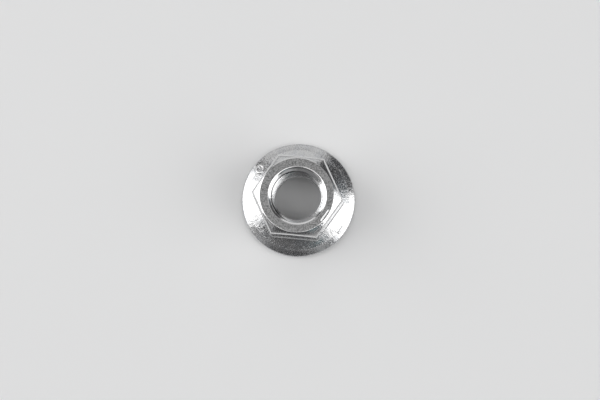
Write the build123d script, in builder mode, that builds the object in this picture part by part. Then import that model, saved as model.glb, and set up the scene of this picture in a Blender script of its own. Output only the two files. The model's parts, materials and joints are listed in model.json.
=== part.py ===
from build123d import *
import os
from math import pi, radians, tan

# Serrated hexagon flange nut for an M10 x 1.25 thread: one cold-formed piece of steel.
# A hexagon for the spanner stands on a round flange with two slopes. The underside of the
# flange has radial ratchet serrations, which bite into the joint when the nut is turned
# loose and slide when it is tightened.
#
# Frame: millimetres, +Z up along the thread. The origin is in the middle of the bearing
# face, on the crests of the serrations. Two flats of the hexagon face +Y and -Y.

# Bore: its wall is the minor diameter of the thread, where the crests of the thread lie. The
# mouth of the countersink in the top face is rolled over to a smooth lip.
bore_diameter = 8.9
countersink_diameter = 10.54
countersink_angle = 100.0
countersink_lip_radius = 0.75

# Hexagon
height = 9.8
across_flats = 14.8
corner_radius = 0.35
top_face_diameter = 13.76
top_face_edge_radius = 0.5
chamfer_angle = 30.0
chamfer_edge_radius = 0.3

# Flange: its upper side falls gently from the hexagon, and more steeply towards the rim
flange_diameter = 21.6
bearing_diameter = 19.8
slope_break_diameter = 19.0
slope_break_height = 1.95
inner_slope = 18.0
outer_slope = 27.0
rim_foot_height = 0.72
rim_upper_radius = 0.5
rim_lower_radius = 0.4
junction_radius = 0.3

# Serrations: each groove is a ratchet triangle that widens and deepens from the plain ring
# round the bore to the rim. The steep flank leans by a few degrees, as a punch needs.
serration_count = 24
serration_depth = 0.4
serration_lean = 12.0
crest_share = 0.12
plain_ring_diameter = 12.4

# How far a cutting shape stands outside the metal that it trims
spare = 1.0


# One groove between two serrations, as a closed cutting shape. Its flanks are planes that meet
# on the axis, so every serration keeps its share of the circle from the ring to the rim.
# Turning counter-clockwise from one crest to the next, seen from above, the groove rises on
# the steep flank and comes back down on the long ramp.
mouth_radius = flange_diameter / 2 + spare
mouth_width = 2 * pi * mouth_radius / serration_count * (1 - crest_share)
mouth_depth = serration_depth * mouth_radius / (flange_diameter / 2)
steep_run = mouth_depth * tan(radians(serration_lean))

with BuildSketch(Plane.YZ.offset(mouth_radius)) as groove_mouth:
    with BuildLine():
        Polyline(
            (-mouth_width / 2, -spare),
            (-mouth_width / 2, 0),
            (-mouth_width / 2 + steep_run, mouth_depth),
            (mouth_width / 2, 0),
            (mouth_width / 2, -spare),
            close=True,
        )
    make_face()

with BuildPart() as groove:
    loft([Vertex(0, 0, 0), groove_mouth.sketch])
    Cylinder(plain_ring_diameter / 2, 2 * (mouth_depth + spare), mode=Mode.SUBTRACT)


with BuildPart() as flange_nut:
    # Hexagon prism, with slightly rounded corners
    with BuildSketch():
        RegularPolygon(across_flats / 2, 6, major_radius=False)
    extrude(amount=height)
    fillet(flange_nut.edges().filter_by(Axis.Z), corner_radius)

    # The top corners of the hexagon are turned off to a cone, which leaves a round top face with
    # a soft edge
    cone_radius = across_flats / 2 + spare
    cone_drop = (cone_radius - top_face_diameter / 2) * tan(radians(chamfer_angle))
    top_edge = (top_face_diameter / 2, height)
    with BuildSketch(Plane.YZ) as turned_section:
        with BuildLine():
            Polyline(
                (0, 0),
                (cone_radius, 0),
                (cone_radius, height - cone_drop),
                top_edge,
                (0, height),
                close=True,
            )
        make_face()
        fillet(turned_section.vertices().sort_by_distance(top_edge)[0], top_face_edge_radius)
    revolve(axis=Axis.Z, mode=Mode.INTERSECT)

    # The edge where the cone meets the flats and corners is rounded all the way round. The
    # cone's own straight edge is only its seam, and its topmost edge is the circle inside.
    cone = flange_nut.faces().filter_by(GeomType.CONE)[0]
    cone_edges = cone.edges().filter_by(GeomType.LINE, reverse=True)
    fillet(cone_edges.sort_by(Axis.Z)[:-1], chamfer_edge_radius)

    # Flange: the rim is a vertical edge between the steep slope and a cone that leads under it
    # to the bearing face, and both its corners are rounded
    slope_break = (slope_break_diameter / 2, slope_break_height)
    slope_top = (0, slope_break_height + slope_break_diameter / 2 * tan(radians(inner_slope)))
    outer_run = (flange_diameter - slope_break_diameter) / 2
    upper_corner = (flange_diameter / 2, slope_break_height - outer_run * tan(radians(outer_slope)))
    lower_corner = (flange_diameter / 2, rim_foot_height)
    with BuildSketch(Plane.YZ) as flange_section:
        with BuildLine():
            Polyline(
                (0, 0),
                (bearing_diameter / 2, 0),
                lower_corner,
                upper_corner,
                slope_break,
                slope_top,
                close=True,
            )
        make_face()
        fillet(flange_section.vertices().sort_by_distance(upper_corner)[0], rim_upper_radius)
        fillet(flange_section.vertices().sort_by_distance(lower_corner)[0], rim_lower_radius)
    revolve(axis=Axis.Z)

    # A small radius where the flats and corners of the hexagon run into the flange
    fillet(flange_nut.edges(Select.NEW), junction_radius)

    # Bore, countersunk at both ends
    with Locations(Plane.XY.offset(height), Plane.XY.rotated((180, 0, 0))):
        CounterSinkHole(
            bore_diameter / 2,
            countersink_diameter / 2,
            counter_sink_angle=countersink_angle,
        )
    top_face = flange_nut.faces().sort_by(Axis.Z)[-1]
    fillet(top_face.inner_wires()[0].edges(), countersink_lip_radius)

    # Serrations on the bearing face
    with PolarLocations(0, serration_count):
        add(groove.part, mode=Mode.SUBTRACT)

flange_nut.part.label = "flange_nut"

os.makedirs("parts", exist_ok=True)
export_step(flange_nut.part, "parts/flange_nut.step")
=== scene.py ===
# %% [markdown]
# # A serrated flange nut, modelled over its CAD frame
#
# The frame is the nut as its drawing gives it: a hexagon on a round flange, with a plain bore and
# ratchet serrations underneath. This lesson models the same nut again as a fine mesh, adds what
# the drawing leaves to the tap and the forming die, gives it its zinc plating, and sets it on a
# pale table between two large soft lamps.
#
# Everything starts from the frame, so the box of the CAD part is kept before anything is added.

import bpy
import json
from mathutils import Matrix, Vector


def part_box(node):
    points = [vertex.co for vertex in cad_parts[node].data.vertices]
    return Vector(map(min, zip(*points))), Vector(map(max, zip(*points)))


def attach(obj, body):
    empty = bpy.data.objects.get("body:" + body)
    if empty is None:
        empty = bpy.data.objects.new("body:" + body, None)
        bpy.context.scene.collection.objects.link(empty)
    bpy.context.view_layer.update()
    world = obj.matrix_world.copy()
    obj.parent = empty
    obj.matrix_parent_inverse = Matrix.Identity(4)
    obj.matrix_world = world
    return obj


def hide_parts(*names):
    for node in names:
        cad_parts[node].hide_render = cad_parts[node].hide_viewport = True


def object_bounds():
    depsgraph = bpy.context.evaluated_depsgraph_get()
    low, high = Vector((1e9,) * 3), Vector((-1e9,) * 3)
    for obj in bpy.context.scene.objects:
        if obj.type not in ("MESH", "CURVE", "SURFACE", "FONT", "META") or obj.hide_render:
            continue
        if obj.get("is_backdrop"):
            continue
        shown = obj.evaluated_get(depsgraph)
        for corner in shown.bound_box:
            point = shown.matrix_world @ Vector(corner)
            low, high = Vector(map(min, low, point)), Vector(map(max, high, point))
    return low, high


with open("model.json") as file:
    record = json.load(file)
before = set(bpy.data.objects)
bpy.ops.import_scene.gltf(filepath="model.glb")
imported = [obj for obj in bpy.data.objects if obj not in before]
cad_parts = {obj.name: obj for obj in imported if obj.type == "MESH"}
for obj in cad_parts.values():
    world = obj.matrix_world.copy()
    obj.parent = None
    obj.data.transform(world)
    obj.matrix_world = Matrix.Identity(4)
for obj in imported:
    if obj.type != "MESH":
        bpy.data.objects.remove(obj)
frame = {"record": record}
cad_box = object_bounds()
print("CAD box, mm:", [[round(v * 1000, 3) for v in corner] for corner in cad_box])

# %% [markdown]
# The rest of the lesson needs Blender's own modules and a little mathematics. `bpy.ops` holds the
# tools that the menus hold, and `bmesh` looks at single edges and faces and marks them.

# %% The other tools of the lesson
import json
from contextlib import contextmanager
from math import atan2, cos, pi, radians, sin, sqrt, tan

import bmesh
import bpy
from mathutils import Matrix, Vector

# %% [markdown]
# ## Sizes from the frame
#
# The flange radius, the height and the bore are read from the frame, and every other size is given
# where it is first needed. They are those of an M10 nut with a pitch of 1.25 mm.
#
# The nut is modelled with one unit to the millimetre. In metres, its smallest edges would be
# shorter than the distance at which some mesh tools take two points for one. The finished mesh is
# scaled down at the end.

# %% Sizes from the frame
MM = 0.001
nut_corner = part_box("flange_nut")[1]
thread_mount = next(m for m in frame["record"]["mounts"] if m["name"] == "thread")

FLANGE_RADIUS = nut_corner[0] / MM
HEIGHT = nut_corner[2] / MM
BORE_RADIUS = thread_mount["dims"]["r_mm"]
print("flange radius", FLANGE_RADIUS, "height", HEIGHT, "bore radius", BORE_RADIUS)

# %% [markdown]
# ## Helpers for the mesh tools
#
# Blender's mesh tools act on whatever is selected, so two helpers look after the selection. `only`
# leaves one object selected, and `editing` opens it in edit mode with everything selected and
# closes it afterwards.
#
# `close_up` makes one clean skin of a mesh. `combine` joins two closed shapes or cuts one with the
# other, as a drill, a tap or a punch would cut it.


# %% Helpers for the mesh tools
def only(obj):
    """Make this object the only one that is selected, and the active one."""
    bpy.ops.object.select_all(action="DESELECT")
    obj.select_set(True)
    bpy.context.view_layer.objects.active = obj


@contextmanager
def editing(obj, mode="VERT"):
    """Edit this object alone, in vertex, edge or face mode, with everything selected."""
    only(obj)
    bpy.ops.object.mode_set(mode="EDIT")
    bpy.ops.mesh.select_mode(type=mode)
    bpy.ops.mesh.select_all(action="SELECT")
    yield
    bpy.ops.object.mode_set(mode="OBJECT")


def close_up(gap=0.0005):
    """Merge points that lie within this gap and turn every face outwards, in edit mode."""
    bpy.ops.mesh.select_all(action="SELECT")
    bpy.ops.mesh.remove_doubles(threshold=gap)
    bpy.ops.mesh.normals_make_consistent(inside=False)


def combine(obj, other, operation):
    """Join this object with another closed one, or cut it, and use the other up."""
    only(obj)
    boolean = obj.modifiers.new("combine", "BOOLEAN")
    boolean.operation = operation
    boolean.solver = "EXACT"
    boolean.object = other
    bpy.ops.object.modifier_apply(modifier=boolean.name)
    bpy.data.objects.remove(other)
    print(operation, "leaves", len(obj.data.vertices), "points")


# %% [markdown]
# ## Drawing and turning
#
# Every outline here is drawn in the same way. A plane is added and merged to a single point, the
# point is moved to the start of the outline, and it is extruded from place to place.
#
# A lathe makes a round form from such an outline, and the spin tool does the same. `STEPS` is how
# many flats stand for a full circle.

# %% Drawing and turning
STEPS = 240


def draw(name, points):
    """A new object with one line through these points."""
    bpy.ops.object.select_all(action="DESELECT")
    bpy.ops.mesh.primitive_plane_add(size=1, location=(0, 0, 0))
    line = bpy.context.object
    line.name = name
    with editing(line):
        bpy.ops.mesh.merge(type="CENTER")
        bpy.ops.transform.translate(value=points[0])
        for here, there in zip(points, points[1:]):
            step = Vector(there) - Vector(here)
            bpy.ops.mesh.extrude_vertices_move(TRANSFORM_OT_translate={"value": step})
    return line


def turn(name, outline, steps=STEPS):
    """A solid turned round Z from (radius, height) points that start and end on the axis."""
    solid = draw(name, [(radius, 0, height) for radius, height in outline])
    with editing(solid):
        bpy.ops.mesh.spin(steps=steps, angle=2 * pi, center=(0, 0, 0), axis=(0, 0, 1))
        close_up()
    print(name, len(solid.data.vertices), "points")
    return solid


def arc(centre, radius, start, end, parts):
    """Points of an arc in the (radius, height) plane, from one angle to the other."""
    angles = [start + (end - start) * i / parts for i in range(parts + 1)]
    return [(centre[0] + radius * cos(a), centre[1] + radius * sin(a)) for a in angles]


# %% [markdown]
# ## The blank
#
# The hexagon of a real nut is struck in a die. It could be drawn as a six-sided outline and
# extruded, but then the curved edge of its chamfer would have to be worked out. It is easier to do
# what a machinist does: turn a round blank with a 30 degree chamfer at its top, and mill six flats
# on it.
#
# The blank sits an eighth of a millimetre off the axis, as struck blanks do, so the chamfer is a
# little wider on one side of the nut.

# %% The blank
ACROSS_FLATS = 14.8
BLANK_MARGIN = 0.4
BLANK_RADIUS = ACROSS_FLATS / sqrt(3) + BLANK_MARGIN
BLANK_FOOT = 1.0
BLANK_OFFSET = (-0.11, 0.07, 0)
TOP_FACE_RADIUS = 6.92
CHAMFER_ANGLE = radians(30)

chamfer_drop = (BLANK_RADIUS - TOP_FACE_RADIUS) * tan(CHAMFER_ANGLE)
nut = turn("nut_body", [
    (0, BLANK_FOOT),
    (BLANK_RADIUS, BLANK_FOOT),
    (BLANK_RADIUS, HEIGHT - chamfer_drop),
    (TOP_FACE_RADIUS, HEIGHT),
    (0, HEIGHT),
])
with editing(nut):
    bpy.ops.transform.translate(value=BLANK_OFFSET)

# %% [markdown]
# ## The hexagon
#
# Bisect is the milling cutter: each cut takes away what lies outside one flat and fills the cut.
# The chamfer then ends on every flat in its true curve, highest in the middle and dipping to the
# corners.
#
# A struck hexagon has no sharp corners. Five narrower cuts round each one, and all of them touch
# the same small circle.

# %% The hexagon
CORNER_ROUNDING = 0.35
CORNER_CUTS = 5


def mill(angle, distance):
    """Cut a flat that faces this angle, at this distance from the axis, in edit mode."""
    outward = Vector((cos(angle), sin(angle), 0))
    bpy.ops.mesh.select_all(action="SELECT")
    bpy.ops.mesh.bisect(
        plane_co=outward * distance, plane_no=outward, use_fill=True, clear_outer=True
    )


corner_centre = ACROSS_FLATS / sqrt(3) - CORNER_ROUNDING / cos(radians(30))
with editing(nut):
    for side in range(6):
        mill(radians(30 + 60 * side), ACROSS_FLATS / 2)
    for corner in range(6):
        for cut in range(CORNER_CUTS):
            lean = radians(60 * (cut + 1) / (CORNER_CUTS + 1) - 30)
            mill(radians(60 * corner) + lean, corner_centre * cos(lean) + CORNER_ROUNDING)
print("hexagon", len(nut.data.polygons), "faces")


# %% [markdown]
# ## The flange
#
# The flange spreads the load of the nut like a washer. It could be pulled out of the foot of the
# hexagon, but then it would have six sides. It is round, so it is turned from an outline of its own
# and joined to the hexagon.
#
# Its upper side falls at 18 degrees from the hexagon and at 27 degrees towards the rounded rim.
# Where the two slopes meet, the edge of the die leaves a low steep step. A ring of points beside
# the step keeps its shading off the wide slope. A cone leads under the rim to the bearing face.

# %% The flange
BEARING_RADIUS = 9.9
RIM_FOOT = 0.72
RIM_LOWER_ROUNDING = 0.4
RIM_UPPER_ROUNDING = 0.5
OUTER_SLOPE = radians(27)
INNER_SLOPE = radians(18)
BREAK_RADIUS = 9.5
BREAK_HEIGHT = 1.95
STEP_CREST = 0.05
STEP_LIFT = 0.008
STEP_FOOT = 0.11
STEP_SUPPORT = 0.2


def flange_outline():
    """The half section of the flange, from the bearing face round the rim to the top."""
    under_slope = atan2(RIM_FOOT, FLANGE_RADIUS - BEARING_RADIUS)
    under_set_back = RIM_LOWER_ROUNDING * tan((pi / 2 - under_slope) / 2)
    under_centre = (FLANGE_RADIUS - RIM_LOWER_ROUNDING, RIM_FOOT + under_set_back)
    shoulder = BREAK_HEIGHT - (FLANGE_RADIUS - BREAK_RADIUS) * tan(OUTER_SLOPE)
    upper_set_back = RIM_UPPER_ROUNDING * tan((pi / 2 - OUTER_SLOPE) / 2)
    upper_centre = (FLANGE_RADIUS - RIM_UPPER_ROUNDING, shoulder - upper_set_back)
    return [
        (0, 0),
        (BEARING_RADIUS, 0),
        *arc(under_centre, RIM_LOWER_ROUNDING, under_slope - pi / 2, 0, parts=5),
        *arc(upper_centre, RIM_UPPER_ROUNDING, 0, pi / 2 - OUTER_SLOPE, parts=6),
        (BREAK_RADIUS + STEP_SUPPORT, BREAK_HEIGHT - STEP_SUPPORT * tan(OUTER_SLOPE)),
        (BREAK_RADIUS + STEP_FOOT, BREAK_HEIGHT - STEP_FOOT * tan(OUTER_SLOPE)),
        (BREAK_RADIUS + STEP_CREST, BREAK_HEIGHT - STEP_CREST * tan(INNER_SLOPE) + STEP_LIFT),
        (BREAK_RADIUS - STEP_CREST, BREAK_HEIGHT + STEP_CREST * tan(INNER_SLOPE)),
        (0, BREAK_HEIGHT + BREAK_RADIUS * tan(INNER_SLOPE)),
    ]


combine(nut, turn("flange", flange_outline()), "UNION")


# %% [markdown]
# ## A tool for rounded edges
#
# The thin bright lines on a plated nut are its rounded edges, which mirror the pale table and the
# lamps. A Bevel modifier would round every sharp edge by the same amount. Here each ring of edges
# gets a bevel of its own, because the die, the lathe and the drill leave different roundings.
#
# No edge has to be picked by hand: a rule says which edges belong to a ring. Outer edges are
# burnished by handling, and their new faces are marked for the material.

# %% A tool for rounded edges
def round_edges(name, rule, offset, segments, burnish=1.0):
    """Bevel the edges of the nut that the rule finds, and mark how burnished the new faces are."""
    with editing(nut, "EDGE"):
        mesh = bmesh.from_edit_mesh(nut.data)
        bpy.ops.mesh.select_all(action="DESELECT")
        found = [edge for edge in mesh.edges if rule(edge)]
        for edge in found:
            edge.select_set(True)
        print(name, len(found), "edges rounded")
        bmesh.update_edit_mesh(nut.data)
        bpy.ops.mesh.bevel(offset=offset, segments=segments, loop_slide=False)
        mesh = bmesh.from_edit_mesh(nut.data)
        layers = mesh.faces.layers.float
        mark = layers.get("burnished") or layers.new("burnished")
        for face in mesh.faces:
            if face.select:
                face[mark] = burnish
        bmesh.update_edit_mesh(nut.data)


# %% [markdown]
# ## Three rings of edges
#
# Three rings are rounded now: the inner corner between the hexagon and the flange, the curved edge
# of the chamfer, and the edge of the top face. The first two dip and rise, so each is found by the
# two kinds of face that it divides: a normal rises by nought on an upright face and by one on a
# level face. The edge of a flat face is a circle, and is found by its place.
#
# The bevel tool is told how far from the edge a rounding starts. In the inner corner this is worked
# out from the radius of the die, because a die can't have a sharp edge there.

# %% Three rings of edges
JUNCTION_ROUNDING = 0.3
CHAMFER_EDGE = 0.36
TOP_EDGE = 0.1
RISE_SLACK = 0.01
LEVEL_SLACK = 0.001
CIRCLE_SLACK = 0.02


def divides(edge, rise):
    """Whether an edge divides an upright face from one whose normal rises by this much."""
    low, high = sorted(abs(face.normal.z) for face in edge.link_faces)
    return low < RISE_SLACK and abs(high - rise) < RISE_SLACK


def on_circle(edge, radius, centre=(0, 0, 0)):
    """Whether an edge of the top face or the bearing face lies on this circle."""
    low, high = sorted(vertex.co.z for vertex in edge.verts)
    flat = high < LEVEL_SLACK or low > HEIGHT - LEVEL_SLACK
    arm = (edge.verts[0].co + edge.verts[1].co) / 2 - Vector(centre)
    return flat and abs(arm.xy.length - radius) < CIRCLE_SLACK


round_edges(
    "junction", lambda edge: divides(edge, cos(INNER_SLOPE)),
    offset=JUNCTION_ROUNDING * tan((pi / 2 - INNER_SLOPE) / 2), segments=5, burnish=0,
)
round_edges(
    "chamfer", lambda edge: divides(edge, cos(CHAMFER_ANGLE)),
    offset=CHAMFER_EDGE, segments=4,
)
round_edges(
    "top face", lambda edge: on_circle(edge, TOP_FACE_RADIUS, BLANK_OFFSET),
    offset=TOP_EDGE, segments=3,
)


# %% [markdown]
# ## The bore
#
# The bore is drilled to the inner diameter of the thread and countersunk at both ends. A cylinder
# could be cut out and its edges bevelled, but one turned cutter does both, and gives the
# countersinks their exact angle. `SPARE` is how far a cutting shape stands outside the metal.
#
# The fan lines of the flat faces are dissolved first, because the cutter would meet them edge on
# edge.

# %% The bore
SPARE = 1.0
COUNTERSINK_RADIUS = 5.27
COUNTERSINK_HALF_ANGLE = radians(50)
COUNTERSINK_EDGE = 0.24
FLATNESS = radians(0.05)


def bore_outline():
    """A plain drill with a countersink at each end, from below the nut to above it."""
    drop = (COUNTERSINK_RADIUS - BORE_RADIUS) / tan(COUNTERSINK_HALF_ANGLE)
    mouth = COUNTERSINK_RADIUS + SPARE * tan(COUNTERSINK_HALF_ANGLE)
    return [
        (0, -SPARE),
        (mouth, -SPARE),
        (BORE_RADIUS, drop),
        (BORE_RADIUS, HEIGHT - drop),
        (mouth, HEIGHT + SPARE),
        (0, HEIGHT + SPARE),
    ]


with editing(nut, "FACE"):
    bpy.ops.mesh.dissolve_limited(angle_limit=FLATNESS)
combine(nut, turn("drill", bore_outline()), "DIFFERENCE")
round_edges(
    "countersinks", lambda edge: on_circle(edge, COUNTERSINK_RADIUS),
    offset=COUNTERSINK_EDGE, segments=3,
)


# %% [markdown]
# ## The thread
#
# The thread is cut as a tap cuts it: a groove with a 60 degree section that climbs one pitch a
# turn, to the right. A stack of closed rings would look much the same from above, but only a helix
# has the start and the run-out of a real thread.
#
# The root of the groove lies at the outer diameter of the bolt and is an eighth of the pitch wide.
# The section is a closed loop that the Screw modifier carries up the helix, with both ends filled.
#
# Where the groove runs out through the countersink it leaves the thin crescent that shows where
# the first turn starts. The helix is set by one point of this run-out: the direction in which the
# groove is at a given height. The cutter is turned by half a step, so that its edges and those of
# the bore don't coincide.

# %% The thread
PITCH = 1.25
THREAD_ROOT_RADIUS = 5.0
HALF_ROOT = PITCH / 16
FLANK_RISE = tan(radians(30))
RUN_OUT_ANGLE = radians(185.5)
RUN_OUT_HEIGHT = 9.345
THREAD_TURNS = 10
THREAD_STEPS = 120
CUTTER_INSET = 0.3


def thread_cutter():
    """The groove of the tap, from below the nut to above it."""
    inner = BORE_RADIUS - CUTTER_INSET
    half_mouth = HALF_ROOT + (THREAD_ROOT_RADIUS - inner) * FLANK_RISE
    foot = RUN_OUT_HEIGHT - PITCH * (RUN_OUT_ANGLE / (2 * pi) + THREAD_TURNS - 2)
    cutter = draw("tap", [
        (inner, 0, foot - half_mouth),
        (THREAD_ROOT_RADIUS, 0, foot - HALF_ROOT),
        (THREAD_ROOT_RADIUS, 0, foot + HALF_ROOT),
        (inner, 0, foot + half_mouth),
        (inner, 0, foot - half_mouth),
    ])
    with editing(cutter):
        close_up()
    screw = cutter.modifiers.new("helix", "SCREW")
    screw.screw_offset = PITCH
    screw.iterations = THREAD_TURNS
    screw.steps = THREAD_STEPS
    screw.render_steps = THREAD_STEPS
    bpy.ops.object.modifier_apply(modifier=screw.name)
    with editing(cutter):
        half_step = pi / STEPS
        bpy.ops.transform.rotate(value=-half_step, orient_axis="Z", center_override=(0, 0, 0))
        bpy.ops.mesh.fill_holes(sides=4)
        close_up()
    return cutter


combine(nut, thread_cutter(), "DIFFERENCE")


# %% [markdown]
# ## One groove of the serrations
#
# The serrations are a ring of ratchet teeth on the bearing face. They slide while the nut is
# tightened, and bite into the joint when it is turned loose.
#
# The teeth could be built up one by one. It is easier to take away what lies between them, because
# one groove, modelled once, can be copied round the circle. It is a triangle with one steep flank,
# and it points at the axis. This is its outline outside the rim, where it is widest and deepest.

# %% One groove of the serrations
SERRATIONS = 24
SERRATION_DEPTH = 0.4
SERRATION_LEAN = radians(12)
CREST_SHARE = 0.12


def groove_outline():
    """The mouth of one groove, outside the rim, as (x, y, z) points."""
    reach = FLANGE_RADIUS + SPARE
    width = 2 * pi * reach / SERRATIONS * (1 - CREST_SHARE)
    depth = SERRATION_DEPTH * reach / FLANGE_RADIUS
    steep_run = depth * tan(SERRATION_LEAN)
    return [
        (reach, -width / 2, -SPARE),
        (reach, -width / 2, 0),
        (reach, -width / 2 + steep_run, depth),
        (reach, width / 2, 0),
        (reach, width / 2, -SPARE),
    ]


# %% [markdown]
# ## The ring of serrations
#
# The outline is drawn and filled, extruded to the axis and shrunk there to a point. A turned plug
# is taken out of it, so that a plain ring stays round the bore. Spin with copies repeats it round
# the circle, and the ring of grooves is cut out of the flange.

# %% The ring of serrations
PLAIN_RING_RADIUS = 6.2
PLUG_REACH = 2.0


def serration_cutters():
    """All the grooves, as one mesh of separate closed wedges."""
    cutter = draw("serration_punch", groove_outline())
    with editing(cutter):
        bpy.ops.mesh.edge_face_add()
        bpy.ops.mesh.extrude_region_move()
        bpy.ops.transform.resize(value=(0, 0, 0), center_override=(0, 0, 0))
        close_up()
    plug = turn("plug", [
        (0, -PLUG_REACH),
        (PLAIN_RING_RADIUS, -PLUG_REACH),
        (PLAIN_RING_RADIUS, PLUG_REACH),
        (0, PLUG_REACH),
    ])
    combine(cutter, plug, "DIFFERENCE")
    with editing(cutter):
        copies = SERRATIONS - 1
        bpy.ops.mesh.spin(
            steps=copies, dupli=True, angle=2 * pi * copies / SERRATIONS,
            center=(0, 0, 0), axis=(0, 0, 1), use_normal_flip=False,
        )
    return cutter


combine(nut, serration_cutters(), "DIFFERENCE")

# %% [markdown]
# ## The raised marks
#
# A die leaves raised marks on the flange of such a nut. These two are kept plain: a round pip with
# a dimple, and a short bar. They could be pulled up out of the flange, but its faces are long and
# narrow there, so each mark is a small solid of its own, sunk into the flange and joined to it.
#
# The pip is turned. The bar starts as a cube, which is stretched and has all its edges rounded.
# Both are made at the origin, tilted to the slope and carried out to their places. When Blender
# runs without a window, its rotate tool turns the other way, so the angles are given to it with a
# minus sign.

# %% The raised marks
PIP_RADIUS = 1.05
PIP_RING = 0.34
PIP_SINK = 0.14
PIP_ROOT = 0.5
BAR_SIZE = (0.45, 1.6, 0.72)
BAR_ROUNDING = 0.13


def carry(mark, azimuth, radius, height, tilt=0):
    """Tilt a mark outwards and carry it from the origin to its place on the nut."""
    about_origin = {"center_override": (0, 0, 0)}
    with editing(mark):
        bpy.ops.transform.rotate(value=-tilt, orient_axis="Y", **about_origin)
        bpy.ops.transform.translate(value=(radius, 0, height))
        bpy.ops.transform.rotate(value=-azimuth, orient_axis="Z", **about_origin)


pip = turn("pip", [
    (0, -PIP_ROOT),
    (PIP_RADIUS, -PIP_ROOT),
    *arc((PIP_RADIUS - PIP_RING, -PIP_SINK), PIP_RING, 0, pi, parts=12),
    (0, -PIP_SINK),
], steps=48)
carry(pip, azimuth=radians(146.5), radius=9.35, height=2.03, tilt=radians(22))
combine(nut, pip, "UNION")

bpy.ops.object.select_all(action="DESELECT")
bpy.ops.mesh.primitive_cube_add(size=1, location=(0, 0, 0))
bar = bpy.context.object
bar.name = "bar"
with editing(bar, "EDGE"):
    bpy.ops.transform.resize(value=BAR_SIZE)
    bpy.ops.mesh.bevel(offset=BAR_ROUNDING, segments=4)
carry(bar, azimuth=radians(329.5), radius=9.75, height=1.82, tilt=OUTER_SLOPE)
combine(nut, bar, "UNION")

# %% [markdown]
# ## A scratch
#
# Loose nuts knock against each other in their box. One of them has left a short scratch near the
# rim of the top face. The relief in the material would do for a fainter one. This one is deep
# enough to be cut, with a four-sided rod that is pressed flat and sunk to half its thickness, so
# that two gentle slopes are left.

# %% A scratch
SCRATCH_SIZE = (0.34, 2.5, 0.16)

bpy.ops.object.select_all(action="DESELECT")
bpy.ops.mesh.primitive_cylinder_add(vertices=4, radius=0.5, depth=1, location=(0, 0, 0))
scratch = bpy.context.object
scratch.name = "scratch"
with editing(scratch):
    bpy.ops.transform.rotate(value=pi / 2, orient_axis="X", center_override=(0, 0, 0))
    bpy.ops.transform.resize(value=SCRATCH_SIZE)
carry(scratch, azimuth=radians(329.3), radius=6.3, height=HEIGHT)
combine(nut, scratch, "DIFFERENCE")

# %% [markdown]
# ## Finish the mesh
#
# The mesh is closed, turned outwards and scaled to metres, and the nut takes the place of the
# CAD part. Faces that meet at less than 24 degrees are shaded as one smooth surface. A live
# modifier weighs the shading normals by face area, so the flats stay flat up to their roundings.
#
# A closed solid has two faces at every edge, so the count of open edges has to be nought.

# %% Finish the mesh
with editing(nut):
    close_up(gap=0.0001)
    bpy.ops.transform.resize(value=(MM, MM, MM), center_override=(0, 0, 0))
only(nut)
bpy.ops.object.shade_smooth_by_angle(angle=radians(24))
weighted = nut.modifiers.new("weighted normals", "WEIGHTED_NORMAL")
weighted.keep_sharp = True
weighted.weight = 80

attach(nut, "root")
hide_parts("flange_nut")

check = bmesh.new()
check.from_mesh(nut.data)
open_edges = sum(len(edge.link_faces) != 2 for edge in check.edges)
print("faces", len(check.faces), "open edges", open_edges)
print("volume, mm3:", round(check.calc_volume() / MM ** 3, 1))
check.free()


# %% [markdown]
# ## A finish and its nodes
#
# The look of a surface is a tree of nodes that ends in one shader. A `Finish` is a material with
# such a tree. Its `node` adds any kind of node, and its `feed` gives the shader a value that is
# the same all over or one that changes from place to place.

# %% A finish and its nodes
class Finish:
    """A material, with its node tree and its shader."""

    def __init__(self, name):
        self.material = bpy.data.materials.new(name)
        self.material.use_nodes = True
        self.tree = self.material.node_tree
        self.shader = self.tree.nodes["Principled BSDF"]

    def node(self, kind, inputs, output=0, **settings):
        """Add a node, set its options, fill or link its inputs, and give back one output."""
        added = self.tree.nodes.new("ShaderNode" + kind)
        for name, value in settings.items():
            setattr(added, name, value)
        for key, value in inputs.items():
            self.plug(added.inputs[key], value)
        return Wire(self, added.outputs[output])

    def plug(self, socket, value):
        """Link a wire to a socket, or set the socket to a plain value."""
        if isinstance(value, Wire):
            self.tree.links.new(value.socket, socket)
        else:
            socket.default_value = value

    def feed(self, inputs):
        """Give the shader wires or plain values, by the names of its sockets."""
        for name, value in inputs.items():
            self.plug(self.shader.inputs[name], value)

    def put_on(self, obj):
        """Make this the only material of an object."""
        obj.data.materials.clear()
        obj.data.materials.append(self.material)
        print(self.material.name, len(self.tree.nodes), "nodes")


# %% [markdown]
# ## Formulas on wires
#
# The plating is worked out from the place on the nut, with no image. A `Wire` is one value on its
# way between two nodes. Python's operators on wires add Math nodes, so a formula reads as it would
# on paper.

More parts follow.
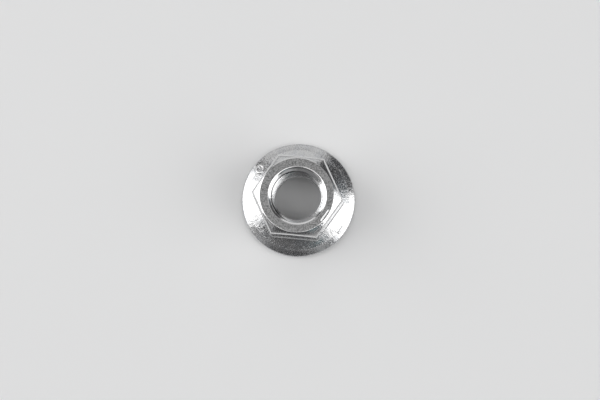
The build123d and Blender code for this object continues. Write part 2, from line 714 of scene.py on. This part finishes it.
# %% Formulas on wires
class Wire:
    """One value in the node tree of a finish, for use in Python formulas."""

    def __init__(self, finish, socket):
        self.finish = finish
        self.socket = socket

    def math(self, operation, *values):
        return self.finish.node("Math", dict(enumerate(values)), operation=operation)

    def __add__(self, other):
        return self.math("ADD", self, other)

    def __radd__(self, other):
        return self.math("ADD", other, self)

    def __sub__(self, other):
        return self.math("SUBTRACT", self, other)

    def __rsub__(self, other):
        return self.math("SUBTRACT", other, self)

    def __mul__(self, other):
        return self.math("MULTIPLY", self, other)

    def __rmul__(self, other):
        return self.math("MULTIPLY", other, self)

    def __truediv__(self, other):
        return self.math("DIVIDE", self, other)

    def __rtruediv__(self, other):
        return self.math("DIVIDE", other, self)

    def __pow__(self, other):
        return self.math("POWER", self, other)

    def __rpow__(self, other):
        return self.math("POWER", other, self)

    def step(self, low, high):
        """Nought below `low`, one above `high`, and a soft rise between them."""
        ends = {"Value": self, "From Min": low, "From Max": high}
        return self.finish.node("MapRange", ends, interpolation_type="SMOOTHSTEP")

    def past(self, edge, fade):
        """Nought before the edge and one past it, with a soft rise round it."""
        return self.step(edge - fade, edge + fade)

    def blend(self, first, second):
        """The first colour where this wire is nought, the second where it is one."""
        ends = {0: self, 6: first, 7: second}
        return self.finish.node("Mix", ends, output=2, data_type="RGBA")


# %% [markdown]
# ## Where a point lies on the nut
#
# Object coordinates are in metres, so they are scaled to millimetres. From them come the distance
# from the axis and the direction round it.
#
# The top face was sheared, the chamfer was turned, the outside was struck in a die and the bore
# was drilled and tapped. Each gets a mask, which is one on that part of the nut and nought
# elsewhere, because each has a finish of its own.

# %% Where a point lies on the nut
TOP_SKIN = 0.015
CHAMFER_REACH = 1.0
LIP_WIDTH = 0.2

zinc = Finish("zinc_plated_steel")
metres = zinc.node("TexCoord", {}, output="Object")
place = zinc.node("VectorMath", {0: metres, "Scale": 1 / MM}, operation="SCALE")
x, y, z = (zinc.node("SeparateXYZ", {0: place}, output=axis) for axis in "XYZ")
radius = (x * x + y * y) ** 0.5
ray_x, ray_y = x / radius, y / radius

burnished = zinc.node("Attribute", {}, output="Fac", attribute_name="burnished")
on_top = z.past(HEIGHT - TOP_SKIN, fade=0.005) * (1 - burnished)
turned = 1 - radius.past(TOP_FACE_RADIUS + CHAMFER_REACH, fade=0.1)
outside = radius.past(COUNTERSINK_RADIUS + LIP_WIDTH, fade=0.1) * (1 - on_top)
inside = 1 - radius.past(COUNTERSINK_RADIUS, fade=0.1)
print("nodes for the place on the nut:", len(zinc.tree.nodes))

# %% [markdown]
# ## Where a point lies in the thread
#
# What lies below the cone of the countersink belongs to the bore and its thread. In the root of
# the thread, away from the bearing face, the plating is made dull and shade is painted dark.
#
# The tap enters at the top, and its groove runs out there through the countersink. `groove_mouth`
# is the radius at which the upper flank of the groove meets the cone. The flank is in deep shade
# close to this mouth, and the shade widens to a dark crescent where the groove ends. The metal of
# this first turn is torn, not cut clean. The angles of both are in radians from the +X axis.

# %% Where a point lies in the thread
CONE_RISE = 1 / tan(COUNTERSINK_HALF_ANGLE)
BELOW_CONE, BORE_REACH = 0.07, 5.25
ROOT_SHADE_REACH, ROOT_SHADE_FLOOR = BORE_RADIUS + 0.275, 4.5
SHADE_START, SHADE_END, SHADE_GAP = 1.8, 4.03, 0.13
CRESCENT_START, CRESCENT_WIDTH = 3.6, 0.22
TEAR_START, TEAR_END, TEAR_FLOOR = 3.325, 4.45, 8.25

angle = zinc.node("Math", {0: 0 - y, 1: 0 - x}, operation="ARCTAN2") + pi
cone_height = HEIGHT - (COUNTERSINK_RADIUS - radius) * CONE_RISE
in_bore = (cone_height - z).past(BELOW_CONE, fade=0.03) * (1 - radius.past(BORE_REACH, fade=0.05))
# painted shade: the root of the thread in the upper bore is painted dark, and is also made duller
dull_shaded_root = radius.past(ROOT_SHADE_REACH, fade=0.125) * z.past(ROOT_SHADE_FLOOR, fade=1.5) * in_bore

groove_height = (angle - RUN_OUT_ANGLE) * (PITCH / (2 * pi)) + RUN_OUT_HEIGHT
groove_mouth = groove_height + HALF_ROOT + THREAD_ROOT_RADIUS * FLANK_RISE - HEIGHT
groove_mouth = (groove_mouth + COUNTERSINK_RADIUS * CONE_RISE) / (FLANK_RISE + CONE_RISE)
shade_edge = groove_mouth - SHADE_GAP - angle.past(CRESCENT_START, fade=0.3) * CRESCENT_WIDTH
shade = radius.past(shade_edge, fade=0.07) * in_bore
shade *= angle.past(SHADE_START, fade=0.1) * (1 - angle.past(SHADE_END, fade=0.05))
torn = angle.past(TEAR_START, fade=0.075) * (1 - angle.past(TEAR_END, fade=0.15))
torn *= z.past(TEAR_FLOOR, fade=0.25) * in_bore
print("nodes with the thread:", len(zinc.tree.nodes))


# %% [markdown]
# ## Relief
#
# The upset metal flows outwards in the die, which leaves fine rays on the flange and fine upright
# lines on the flats. Turning leaves rings on the chamfer and the countersink, and the tap leaves
# chatter marks in the bore. The plating adds a soft swell and a fine grain everywhere.
#
# Each is a noise on coordinates that are squeezed along the marks, so that its spots are drawn out
# to lines. All heights are in millimetres. Burnished edges keep only a quarter of the relief.

# %% Relief
ALONG_RAY, ALONG_RING, ALONG_BORE = 0.035, 0.2, 0.05
RAY_HEIGHT = 0.022
RING_HEIGHT = 0.006
CHATTER_IN_BORE, CHATTER_INSIDE = 0.02, 0.03
SWELL_HEIGHT = 0.014
GRAIN_HEIGHT, GRAIN_OUTSIDE = 0.007, 0.009
BURNISH_FLATTENS = 0.75


def noise(vector, scale, detail=2.0, roughness=0.5):
    """Soft random spots, about 1 / scale across, from nought to one."""
    inputs = {"Vector": vector, "Scale": scale, "Detail": detail, "Roughness": roughness}
    return zinc.node("TexNoise", inputs, output="Fac")


ray_place = zinc.node("CombineXYZ", {0: ray_x, 1: ray_y, 2: radius * ALONG_RAY})
ring_place = zinc.node("CombineXYZ", {0: radius, 1: z, 2: ray_x * ALONG_RING})
bore_place = zinc.node("CombineXYZ", {0: ray_x, 1: ray_y, 2: z * ALONG_BORE})

rays = noise(ray_place, scale=24, detail=3, roughness=0.6)
rings = noise(ring_place, scale=5, detail=3)
chatter = noise(bore_place, scale=20, detail=3, roughness=0.7)
swell = noise(place, scale=1.3)
grain = noise(place, scale=4.5, roughness=0.7)

relief = rays * outside * RAY_HEIGHT + rings * turned * RING_HEIGHT + swell * SWELL_HEIGHT
relief += chatter * (in_bore * CHATTER_IN_BORE + inside * CHATTER_INSIDE)
relief += grain * (GRAIN_HEIGHT + outside * GRAIN_OUTSIDE)
relief *= 1 - burnished * BURNISH_FLATTENS
bump = zinc.node("Bump", {"Height": relief, "Distance": MM, "Strength": 1.0}, output="Normal")
print("nodes with the relief:", len(zinc.tree.nodes))

# %% [markdown]
# ## Colour
#
# Bright zinc is a light grey metal, with darker specks where its crystals are coarser. The clear
# film over it tints it blue in patches. The sheared top face is much darker and grainy, and the
# burnished edges are the brightest metal. The root of the thread is painted nearly black as shade,
# and the flank under the countersink is painted blacker still as deep shade.

# %% Colour
BRIGHT, BRIGHT_SPECK = (0.70, 0.70, 0.70, 1), (0.63, 0.63, 0.635, 1)
TINTED, TINTED_SPECK = (0.67, 0.675, 0.685, 1), (0.58, 0.59, 0.605, 1)
SHEARED, SHEARED_SPECK = (0.12, 0.12, 0.12, 1), (0.475, 0.475, 0.475, 1)
BURNISHED = (0.8, 0.8, 0.8, 1)
# painted shade for the root of the thread
ROOT_PAINTED_SHADE = (0.12, 0.12, 0.12, 1)
DEEP_SHADE = (0.05, 0.05, 0.05, 1)

patches = noise(place, scale=0.45, detail=3).step(0.42, 0.66)
speckle = noise(place, scale=2.6, detail=3, roughness=0.65).step(0.35, 0.68)
salt = noise(place, scale=3.8, detail=4, roughness=0.85).step(0.34, 0.66)

bright = speckle.blend(BRIGHT, BRIGHT_SPECK)
tinted = speckle.blend(TINTED, TINTED_SPECK)
colour = on_top.blend(patches.blend(bright, tinted), salt.blend(SHEARED, SHEARED_SPECK))
colour = burnished.blend(colour, BURNISHED)
# painted shade: the root of the thread is darkened
colour = dull_shaded_root.blend(colour, ROOT_PAINTED_SHADE)
colour = shade.blend(colour, DEEP_SHADE)
print("nodes with the colour:", len(zinc.tree.nodes))

# %% [markdown]
# ## Roughness
#
# The plating mirrors the studio with hardly any blur. The sheared top face, the thread root and
# the torn first turn are dull. Frost is a fine dulling where crystals stand up out of the plating:
# it breaks up the edges of what the flange mirrors into specks, and it is weaker on the chamfer.

# %% Roughness
PLATED = 0.12
SPECK_DULLS, TOP_DULLS, ROOT_DULLS, TEAR_DULLS = 0.03, 0.25, 0.2, 0.25
FROST_DULLS, FROST_LESS_ON_CHAMFER = 0.26, 0.1

frost = noise(place, scale=5.0, roughness=0.8).step(0.46, 0.68)
roughness = PLATED + speckle * SPECK_DULLS + on_top * TOP_DULLS
roughness += dull_shaded_root * ROOT_DULLS + torn * TEAR_DULLS
frost_dulls = FROST_DULLS - turned * FROST_LESS_ON_CHAMFER
roughness += frost * outside * (1 - burnished) * frost_dulls

zinc.feed({"Base Color": colour, "Roughness": roughness, "Metallic": 1, "Normal": bump})
zinc.put_on(nut)

# %% [markdown]
# ## The table
#
# The nut lies on a plain white sheet. It is matt, so the lamps leave no glare on it, and it keeps
# the soft shadow of the nut.

# %% The table
bpy.ops.object.select_all(action="DESELECT")
bpy.ops.mesh.primitive_plane_add(size=2, location=(0, 0, 0))
table = bpy.context.object
table.name = "table"
table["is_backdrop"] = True
sheet = Finish("white_sheet")
sheet.feed({"Base Color": (0.83, 0.83, 0.83, 1), "Roughness": 0.8})
sheet.put_on(table)


# %% [markdown]
# ## Light
#
# Polished metal shows its surroundings more than itself. An image of a studio all round it would be
# the quick way, but lamps can be moved one by one, so every lamp here is placed by what mirrors
# it. Seen from straight above, a slope of t degrees mirrors what stands 90 - 2t degrees above the
# table on its own side: 54 degrees for the gentle slope of the flange, 36 for the steep one and
# 30 for the chamfer. The countersink mirrors what stands 10 degrees up on the far side. The camera
# leans by six degrees, which raises these angles at the front and lowers them at the back.
#
# A lamp is therefore given by angles as seen from the nut: the direction of its middle, half its
# width, and its lower and upper edge, all in degrees. North is the top of the camera's view, which
# is turned by `VIEW_TURN` against the nut. A reflector or a backdrop is a weak lamp. The strength
# is the radiance, so that a lamp of strength one looks white in a perfect mirror.

# %% Lamps
VIEW_TURN = 5.5
LAMP_DISTANCE = 0.6


def lamp(name, size, location, rotation, strength, colour=(1, 1, 1)):
    """A flat rectangular lamp with this radiance."""
    light = bpy.data.lights.new(name, "AREA")
    light.shape = "RECTANGLE"
    light.size, light.size_y = size
    light.color = colour
    light.energy = strength * pi * light.size * light.size_y
    obj = bpy.data.objects.new(name, light)
    bpy.context.collection.objects.link(obj)
    obj.location = location
    obj.rotation_euler = rotation
    print(name, round(light.size, 2), "x", round(light.size_y, 2), "m")


def upright(name, middle, half_width, low, high, strength, **tint):
    """A lamp that stands upright and faces the nut."""
    foot, head = (LAMP_DISTANCE * tan(radians(edge)) for edge in (low, high))
    size = (2 * LAMP_DISTANCE * tan(radians(half_width)), head - foot)
    azimuth = radians(middle + VIEW_TURN)
    location = (LAMP_DISTANCE * cos(azimuth), LAMP_DISTANCE * sin(azimuth), (foot + head) / 2)
    lamp(name, size, location, (pi / 2, 0, azimuth + pi / 2), strength, **tint)


def overhead(name, middle, reach, height, size, strength):
    """A lamp that looks straight down, this far off the axis. Its sizes are in metres."""
    azimuth = radians(middle + VIEW_TURN)
    location = (reach * cos(azimuth), reach * sin(azimuth), height)
    lamp(name, size, location, (0, 0, azimuth), strength)


# %% [markdown]
# ## The softboxes
#
# Two tall softboxes stand left and right of the nut and make its two bright quarters. The gentle
# slope of the flange mirrors their upper parts and the steep slope their lower parts. The parts
# are lamps of their own, because the bright quarters of the two slopes differ a little in width.

# %% The softboxes
upright("west_softbox", middle=170.5, half_width=29.5, low=11, high=46, strength=2.1)
upright("west_softbox_top", middle=170.5, half_width=27, low=46, high=75, strength=2.1)
upright("east_softbox", middle=345, half_width=27.5, low=13, high=46, strength=2.1)
upright("east_softbox_top", middle=346.2, half_width=26.5, low=46, high=77, strength=2.1)

# %% [markdown]
# ## Behind the nut
#
# Two reflectors, one above the other, give the far side of the flange its even light grey. The
# narrow one lights a corner of the chamfer. Beside them, towards the east softbox, nearly nothing
# stands, and that makes the dark quarter of the flange.
#
# The backdrops are low. The countersink mirrors them from the near side of the nut, and the
# roundings of the far side mirror them too.

# %% Behind the nut
upright("north_reflector", middle=94, half_width=32.5, low=40, high=64, strength=0.67)
upright("north_low_reflector", middle=95.5, half_width=31.5, low=17, high=40, strength=0.68)
upright("north_corner_reflector", middle=62.5, half_width=2.5, low=15, high=27, strength=0.5)
upright("north_backdrop", middle=91, half_width=37, low=0, high=17, strength=0.3)
upright("north_west_backdrop", middle=137, half_width=9, low=0, high=17, strength=0.6)
upright("north_east_backdrop", middle=31, half_width=18, low=0, high=15, strength=0.65)
upright(
    "north_east_reflector", middle=20, half_width=7, low=30, high=64, strength=0.11,
    colour=(0.65, 0.87, 1.0),
)

# %% [markdown]
# ## In front of the nut
#
# The near side of the flange stays dark grey, and gets lighter towards the softboxes. Its weak
# reflectors stand in steps, and each serves one slope: about 60 degrees up for the gentle slope,
# 42 for the steep one, and 36 for the chamfer. The lowest ones are mirrored by the first turns of
# the thread on the far side of the bore. A tinted one brings out the blue of the film.

# %% In front of the nut
upright("south_west_reflector", middle=213.8, half_width=14.3, low=28, high=43, strength=0.42)
upright("south_west_high_reflector", middle=222, half_width=8, low=48, high=64, strength=0.12)
upright("south_reflector", middle=272, half_width=30, low=40, high=48, strength=0.05)
upright("south_high_reflector", middle=265, half_width=30, low=50, high=62, strength=0.07)
upright("south_low_reflector", middle=242, half_width=39, low=6, high=29, strength=0.17)
upright("south_east_low_reflector", middle=294, half_width=17, low=4, high=29, strength=0.4)
upright("south_east_corner_reflector", middle=297, half_width=9, low=28, high=38, strength=0.21)
upright(
    "south_east_reflector", middle=298, half_width=8, low=38, high=60, strength=0.18,
    colour=(0.5, 0.9, 1.0),
)

# %% [markdown]
# ## Overhead
#
# A large faint ceiling lamp gives the flat top face its even grey and lights the table through the
# bore. Two bright strips beside it are mirrored as fine lines by the rounded edges at the front.
#
# The rest of the studio is nearly black, which keeps the contrast of the metal.

# %% Overhead
STUDIO_GREY = (0.065, 0.065, 0.067, 1)

overhead("ceiling", middle=265, reach=0.02, height=0.8, size=(0.5, 0.7), strength=0.46)
overhead("south_west_strip", middle=215, reach=0.2, height=0.7, size=(0.08, 0.24), strength=1.6)
overhead("south_east_strip", middle=300, reach=0.2, height=0.7, size=(0.08, 0.16), strength=1.6)

world = bpy.data.worlds.new("studio")
world.use_nodes = True
world.node_tree.nodes["Background"].inputs["Color"].default_value = STUDIO_GREY
bpy.context.scene.world = world
print("lamps", len(bpy.data.lights))

# %% [markdown]
# ## Camera
#
# The camera looks almost straight down. It leans six degrees towards the front, so that the far
# wall of the bore shows its first turns of thread. A long lens from a third of a metre keeps the
# hexagon nearly free of perspective.
#
# The view is set by three values: how many pixels stand for a metre at the nut, the height that
# the camera aims at, and `NUT_PIXEL`, where the middle of the flange lands in an image that is 600
# pixels wide and 400 high.

# %% Camera
IMAGE_SIZE = (600, 400)
NUT_PIXEL = (298.5, 200.45)
PIXELS_PER_METRE = 5266
AIM_HEIGHT = 0.001
CAMERA_DISTANCE = 0.33
CAMERA_LEAN = radians(6.2)
CAMERA_SIDE = radians(284 + VIEW_TURN)
VIEW_NORTH = radians(90 + VIEW_TURN)

towards = Vector((cos(CAMERA_SIDE), sin(CAMERA_SIDE), 0))
away = towards * sin(CAMERA_LEAN) + Vector((0, 0, cos(CAMERA_LEAN)))
right = Vector((cos(VIEW_NORTH), sin(VIEW_NORTH), 0)).cross(away).normalized()
up = away.cross(right)
aim = Vector((0, 0, AIM_HEIGHT))
aim += right * (IMAGE_SIZE[0] / 2 - NUT_PIXEL[0]) / PIXELS_PER_METRE
aim += up * (NUT_PIXEL[1] - IMAGE_SIZE[1] / 2) / PIXELS_PER_METRE

camera_data = bpy.data.cameras.new("camera")
camera_data.sensor_width = 36
camera_data.lens = PIXELS_PER_METRE * CAMERA_DISTANCE * camera_data.sensor_width / IMAGE_SIZE[0]
camera_data.clip_start = 0.01
camera = bpy.data.objects.new("camera", camera_data)
bpy.context.collection.objects.link(camera)
camera.matrix_world = Matrix((right, up, away)).transposed().to_4x4()
camera.location = aim + away * CAMERA_DISTANCE
bpy.context.scene.camera = camera
bpy.context.scene.view_settings.view_transform = "Standard"
print("lens", round(camera_data.lens, 1), "mm")

# %% [markdown]
# ## Print both boxes
#
# The finished nut must stay inside the box of its CAD part, so both boxes are printed.

# %% Print both boxes
boxes = {"cad": cad_box, "visual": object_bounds()}
boxes = {name: [list(corner) for corner in box] for name, box in boxes.items()}
for name, box in boxes.items():
    print(name, [[round(v / MM, 3) for v in corner] for corner in box])
